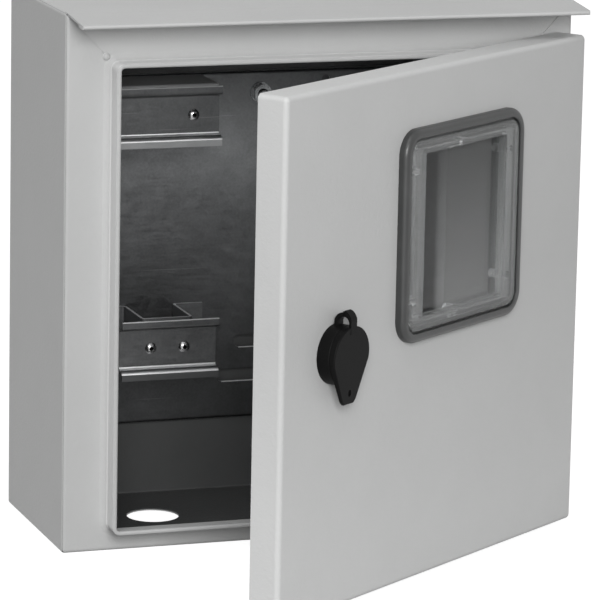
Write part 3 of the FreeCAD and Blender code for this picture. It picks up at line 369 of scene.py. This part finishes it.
def shut_door(tree):
    """Object coordinates turned back to where they lie on the shut door."""
    mapping = add(tree, "ShaderNodeMapping")
    coords = add(tree, "ShaderNodeTexCoord")
    mapping.inputs["Rotation"].default_value = (0.0, 0.0, -OPEN)
    mapping.inputs["Location"].default_value = PIN - Matrix.Rotation(-OPEN, 3, "Z") @ PIN
    tree.links.new(coords.outputs["Object"], mapping.inputs["Vector"])
    return mapping.outputs["Vector"]


def clear_plastic():
    """Clear moulding: a polished pane with painted shading, darker towards the top and lighter towards the
    bottom, and a painted shade along its left side, where it lets more through, and a frame with a fine
    matt grain and flow marks."""
    material, tree, shader = new_material("clear_plastic")
    x, z = WINDOW
    half_w, half_h = PANE
    left = x - half_w
    pane = within(tree, shut_door(tree), (left, None, z - half_h), (x + half_w, None, z + half_h))
    flow = noise(tree, 30.0, 2.0, 0.5)
    haze = noise(tree, 260.0, 3.0, 0.6)
    frame_tint = mix_colours(tree, spread(tree, flow, 0.0, 1.0), (0.64, 0.65, 0.65), (0.70, 0.71, 0.71))
    where = parts(tree, shut_door(tree))
    # Painted shading: the pane darker towards the top and lighter towards the bottom.
    height = spread(tree, where["Z"], 0.0, 1.0, z - half_h, z + half_h)
    painted_shading = mix_colours(tree, height, (0.90, 0.91, 0.91), (0.40, 0.41, 0.41))
    tree.links.new(mix_colours(tree, pane, frame_tint, painted_shading), shader.inputs["Base Color"])
    matt, polished = spread(tree, haze, 0.10, 0.14), spread(tree, flow, 0.03, 0.05)
    tree.links.new(mix(tree, "FLOAT", pane, matt, polished), shader.inputs["Roughness"])
    # Painted shade along the pane's left side, by letting more through there.
    painted_left_shade = spread(tree, where["X"], 1.0, 0.90, left + 0.018, left + 0.024)
    tree.links.new(mix(tree, "FLOAT", pane, 0.85, painted_left_shade), shader.inputs["Transmission Weight"])
    shader.inputs["IOR"].default_value = 1.22
    shader.inputs["Specular IOR Level"].default_value = 0.35
    return material


CASE_INSIDE = ((-0.1494, -0.1164, -0.1529), (0.1494, -0.0006, 0.1529))
RIM_MIDDLE, RIM_LEAN = (0.0, 0.0, -0.00715), 1.7
RIM_ZONE = ((-0.1294, -0.134, -0.1457), (0.1294, -0.1173, 0.1314))
# Places of painted shade in the rivets' eyes.
EYE_HALF, EYE_FRONT = 0.0013, -0.0452
EYES = [(x, z, EYE_HALF, EYE_FRONT) for x, z in
        ((-0.09899, UPPER_RAIL), (-0.05261, UPPER_RAIL), (-0.07664, LOWER_RAIL), (-0.05646, LOWER_RAIL))]
# Painted highlight along the shelf's back edge.
SHELF_EDGE_HIGHLIGHT = ((-1.0, -0.0088, 0.0982), (1.0, -0.0058, 0.0992))
# Painted highlights along the slots' lower edges.
SLOT_PAINTED_HIGHLIGHTS = [((METER_X - run, -0.0062, edge - 0.0006), (METER_X + run, -0.0055, edge))
              for run, edge in ((0.0515, -0.0656), (0.0618, -0.0860))]
MATERIALS = {
    # Painted light: this slot's coat, on the door and all but the case, is 1.13 times the case's tones and
    # lighter still towards the foot.
    "powder_coat": powder_coat("powder_coat", 1.13, foot=1.16),
    # Painted shade and light on the mounting panel, and painted highlights along its slots.
    "galvanised_panel": galvanised(
        "galvanised_panel", ((0.11, 0.112, 0.114), (0.25, 0.255, 0.26)), (0.80, 0.805, 0.81), (0, 2),
        fade=(0.52, 1.62), painted_light_boxes=SLOT_PAINTED_HIGHLIGHTS),
    "galvanised_bracket": galvanised(
        "galvanised_bracket", ((0.13, 0.132, 0.134), (0.27, 0.275, 0.28)), (0.70, 0.705, 0.71), (0,),
        metal=0.7),
    # Painted light on the upper rail's lower lip and top edge.
    "rail_steel": rail_steel("rail_steel", UPPER_RAIL, (0.38, 0.384, 0.388), (0.40, 0.404, 0.408)),
    "zinc_fastener": plated("zinc_fastener", ((0.13, 0.132, 0.134), (0.32, 0.325, 0.33)), (0.16, 0.28)),
    "rivet_metal": plated("rivet_metal", ((0.34, 0.34, 0.345), (0.50, 0.50, 0.505)), (0.20, 0.30), EYES),
    "seal_foam": moulded(
        "seal_foam", ((0.012, 0.012, 0.013), (0.022, 0.022, 0.024)), (0.85, 0.98), 700.0, 0.0003),
    "gasket_rubber": moulded("gasket_rubber", ((0.028, 0.029, 0.029), (0.042, 0.043, 0.043)), (0.30, 0.42)),
    "clear_plastic": clear_plastic(),
    "lock_metal": plated("lock_metal", ((0.50, 0.50, 0.50), (0.66, 0.66, 0.66)), (0.16, 0.30)),
    "cam_steel": plated("cam_steel", ((0.40, 0.405, 0.41), (0.56, 0.565, 0.57)), (0.28, 0.44)),
    "black_plastic": moulded(
        "black_plastic", ((0.0035, 0.0035, 0.0035), (0.006, 0.006, 0.006)), (0.40, 0.52)),
}
BLACK_SHADER = MATERIALS["black_plastic"].node_tree.nodes["Principled BSDF"]
BLACK_SHADER.inputs["Specular IOR Level"].default_value = 0.07
# Nodes that look unlike the others of their slot, mostly through painted light and shade.
SPECIAL = {
    "enclosure_shell": powder_coat(
        "powder_coat_case", inside=CASE_INSIDE, rim=(RIM_MIDDLE, RIM_ZONE, RIM_LEAN)),
    # Lit copy of the zinc for the upper shelf: painted light in much lighter tones.
    "upper_rail_bracket": galvanised(
        "galvanised_lit_shelf", ((0.48, 0.485, 0.49), (0.62, 0.625, 0.63)), (0.90, 0.905, 0.91), (0,), metal=0.1,
        painted_light_boxes=[SHELF_EDGE_HIGHLIGHT]),
    # Painted highlight on the hat bracket's edges that face up and down.
    "lower_rail_bracket": galvanised(
        "galvanised_hat", ((0.10, 0.102, 0.104), (0.22, 0.225, 0.23)), (0.95, 0.955, 0.96), (2,), metal=0.7),
    # Painted light and shade on the lower rail's lower lip and top edge.
    "lower_din_rail": rail_steel("rail_steel_lower", LOWER_RAIL, (0.12, 0.122, 0.124), (0.70, 0.705, 0.71)),
}


def dress_nodes():
    """Give every CAD node the material of its slot in the record, or its own."""
    for part in frame["record"]["subparts"]:
        node = NODES[part["node"]]
        node.data.materials.clear()
        material = SPECIAL.get(part["node"]) or MATERIALS[part["material_slot"]]
        node.data.materials.append(material)


# Detail pieces

def mesh_piece(name, points, faces, slot, nodes, body, smooth=True):
    """A mesh that stands for CAD nodes, with the material of a slot."""
    mesh = bpy.data.meshes.new(name)
    mesh.from_pydata(points, [], faces)
    mesh.validate()
    tidy = bmesh.new()
    tidy.from_mesh(mesh)
    bmesh.ops.recalc_face_normals(tidy, faces=tidy.faces)
    tidy.to_mesh(mesh)
    tidy.free()
    for face in mesh.polygons:
        face.use_smooth = smooth
    mesh.materials.append(MATERIALS[slot])
    piece = bpy.data.objects.new(name, mesh)
    bpy.context.collection.objects.link(piece)
    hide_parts(*nodes)
    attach(piece, body)
    return piece


def loft(rows, closed_rows):
    """Quads between rows of equal length, each row a closed loop. Rows may close on the first."""
    count = len(rows[0])
    points = [point for row in rows for point in row]
    faces = []
    last = len(rows) if closed_rows else len(rows) - 1
    for r in range(last):
        here, there = r * count, (r + 1) % len(rows) * count
        for k in range(count):
            n = (k + 1) % count
            faces.append((here + k, here + n, there + n, there + k))
    if not closed_rows:
        faces.append(tuple(range(count)))
        faces.append(tuple(range((len(rows) - 1) * count, len(rows) * count)))
    return points, faces


def round_rectangle(half_w, half_h, corner, step):
    """Points round a rectangle with round corners, each with its outward direction."""
    bends = 8
    points = []
    for quarter in range(4):
        turn = quarter * math.pi / 2
        reach, run = (half_w, half_h) if quarter % 2 == 0 else (half_h, half_w)
        straight = run - corner
        count = max(2, round(2 * straight / step))
        path = [(reach, 2 * straight * k / count - straight, turn) for k in range(count)]
        for k in range(bends):
            bend = math.pi / 2 * k / bends
            out = reach - corner + corner * math.cos(bend)
            path.append((out, straight + corner * math.sin(bend), turn + bend))
        for out, along, way in path:
            u = out * math.cos(turn) - along * math.sin(turn)
            v = out * math.sin(turn) + along * math.cos(turn)
            points.append((u, v, math.cos(way), math.sin(way)))
    return points


def opened(point):
    """A point of the shut door carried to the resting angle."""
    return Matrix.Rotation(OPEN, 3, "Z") @ (Vector(point) - PIN) + PIN


def foam_seal():
    """Poured foam strip inside the door: a crowned bead with a soft wavering edge and one joint."""
    half_w, half_h, centre_z = 0.1177, 0.12685, -0.00715
    corner, step = 0.0032, 0.004
    width, height, back = 0.009, 0.0049, -0.1383
    joint_height, joint_place, joint_length = 0.0004, 0.40, 0.004
    facets = 12
    rows = []
    run = 0.0
    last = None
    for u, v, out_u, out_v in round_rectangle(half_w, half_h, corner, step):
        if last:
            run += math.hypot(u - last[0], v - last[1])
        last = (u, v)
        waver = 0.00012 * math.sin(run * 190.0) + 0.0001 * math.sin(run * 71.0 + 1.3)
        joint = joint_height * math.exp(-((run - joint_place) / joint_length) ** 2)
        row = []
        for k in range(facets + 1):
            turn = math.pi * k / facets
            across = 0.5 - 0.49 * math.copysign(abs(math.cos(turn)) ** 0.75, math.cos(turn))
            rise = (height - 0.0005) * math.sin(turn) ** 0.6 + (waver + joint) * math.sin(turn)
            out = width * across + waver * math.cos(turn)
            row.append(opened((u + out_u * out, back + rise, centre_z + v + out_v * out)))
        rows.append(row)
    points, faces = loft(rows, True)
    return mesh_piece("foam_seal", points, faces, "seal_foam", ["door_seal"], "door")


def threaded_stud(x, z, base, length, radius, pitch):
    """Rows of a stud along -Y with a rolled thread, a plain root and a chamfered end."""
    sides = 28
    steps = round(length / (pitch / 6))
    rows = []
    for k in range(steps + 1):
        run = length * k / steps
        row = []
        for side in range(sides):
            turn = 2 * math.pi * side / sides
            phase = (run / pitch - side / sides) % 1.0
            crest = 1.0 - abs(2 * phase - 1.0)
            fade = min(1.0, max(0.0, (run - 1.5 * pitch) / pitch))
            chamfer = max(0.0, run - (length - 0.8 * pitch)) * 0.8
            r = radius - 0.55 * pitch * (1.0 - crest) * fade - chamfer
            row.append((x + r * math.cos(turn), base - run, z + r * math.sin(turn)))
        rows.append(row)
    return loft(rows, False)


def studs(name, nodes, places):
    """One mesh of the threaded studs that stand on the back wall at some places."""
    base, length, radius, pitch = -0.0012, 0.013, 0.00298, 0.001
    points, faces = [], []
    for x, z in places:
        more, quads = threaded_stud(x, z, base, length, radius, pitch)
        start = len(points)
        points += more
        faces += [tuple(start + index for index in quad) for quad in quads]
    return mesh_piece(name, points, faces, "zinc_fastener", nodes, "enclosure", False)


# Stage

def floor():
    """Pale floor under the box, out to where it meets the white surroundings."""
    left, right, near, far, z = -9, 9, -6, 12, CAD_BOX[0][2]
    mesh = bpy.data.meshes.new("floor")
    corners = [(left, near, z), (right, near, z), (right, far, z), (left, far, z)]
    mesh.from_pydata(corners, [], [(0, 1, 2, 3)])
    plane = bpy.data.objects.new("floor", mesh)
    bpy.context.collection.objects.link(plane)
    material, tree, shader = new_material("floor_white")
    shader.inputs["Base Color"].default_value = (0.30, 0.30, 0.30, 1.0)
    shader.inputs["Roughness"].default_value = 0.9
    shader.inputs["Specular IOR Level"].default_value = 0.1
    shader.inputs["Emission Color"].default_value = (1.0, 1.0, 1.0, 1.0)
    tree.links.new(seen_directly(tree, 0.03, 0.93), shader.inputs["Emission Strength"])
    mesh.materials.append(material)


def seen_directly(tree, lighting, seen):
    """One strength where a surface lights others, another where it is seen, mirrored or seen through."""
    path = add(tree, "ShaderNodeLightPath").outputs
    rays = path["Is Camera Ray"]
    for name in ("Is Glossy Ray", "Is Transmission Ray"):
        rays = calculate(tree, "MAXIMUM", rays, path[name])
    return spread(tree, rays, lighting, seen, 0.0, 1.0)


def world():
    """Even white surroundings: full white where they are seen, softer where they light."""
    surroundings = bpy.data.worlds.new("studio")
    bpy.context.scene.world = surroundings
    surroundings.use_nodes = True
    tree = surroundings.node_tree
    back = tree.nodes["Background"]
    back.inputs["Color"].default_value = (1.0, 1.0, 1.0, 1.0)
    tree.links.new(seen_directly(tree, 0.30, 1.0), back.inputs["Strength"])


def lamp(name, direction, distance, size, power):
    """Square soft light that faces the middle of the box."""
    data = bpy.data.lights.new(name, "AREA")
    data.size = size
    data.energy = power
    light = bpy.data.objects.new(name, data)
    bpy.context.collection.objects.link(light)
    way = Vector(direction).normalized()
    light.location = way * distance
    light.rotation_euler = way.to_track_quat("Z", "Y").to_euler()


def camera():
    """The photograph's view, solved from its edges."""
    data = bpy.data.cameras.new("camera")
    data.sensor_width = 36.0
    data.lens = 256.84
    data.dof.use_dof = False
    data.clip_end = 60.0
    view = bpy.data.objects.new("camera", data)
    bpy.context.collection.objects.link(view)
    right = Vector((0.946331, -0.322603, 0.019632))
    down = Vector((-0.049126, -0.203613, -0.977818))
    ahead = Vector((0.319444, 0.924375, -0.208533))
    turn = Matrix((right, -down, -ahead)).transposed().to_4x4()
    view.matrix_world = Matrix.Translation((-0.7859, -2.35923, 0.49161)) @ turn
    bpy.context.scene.camera = view


camera()
floor()
world()
lamp("key", (-0.22, -0.92, 0.31), 2.2, 0.8, 30.0)
lamp("top", (-0.36, -0.33, 0.86), 1.9, 1.2, 11.0)
bpy.context.scene.view_settings.view_transform = "Standard"
dress_nodes()
foam_seal()
studs("panel_stud_threads", ["panel_studs"], [(0.0, 0.0869), (-0.1, -0.095), (0.1, -0.095)])
studs("earth_stud_thread", ["earth_stud"], [(0.118, -0.136)])
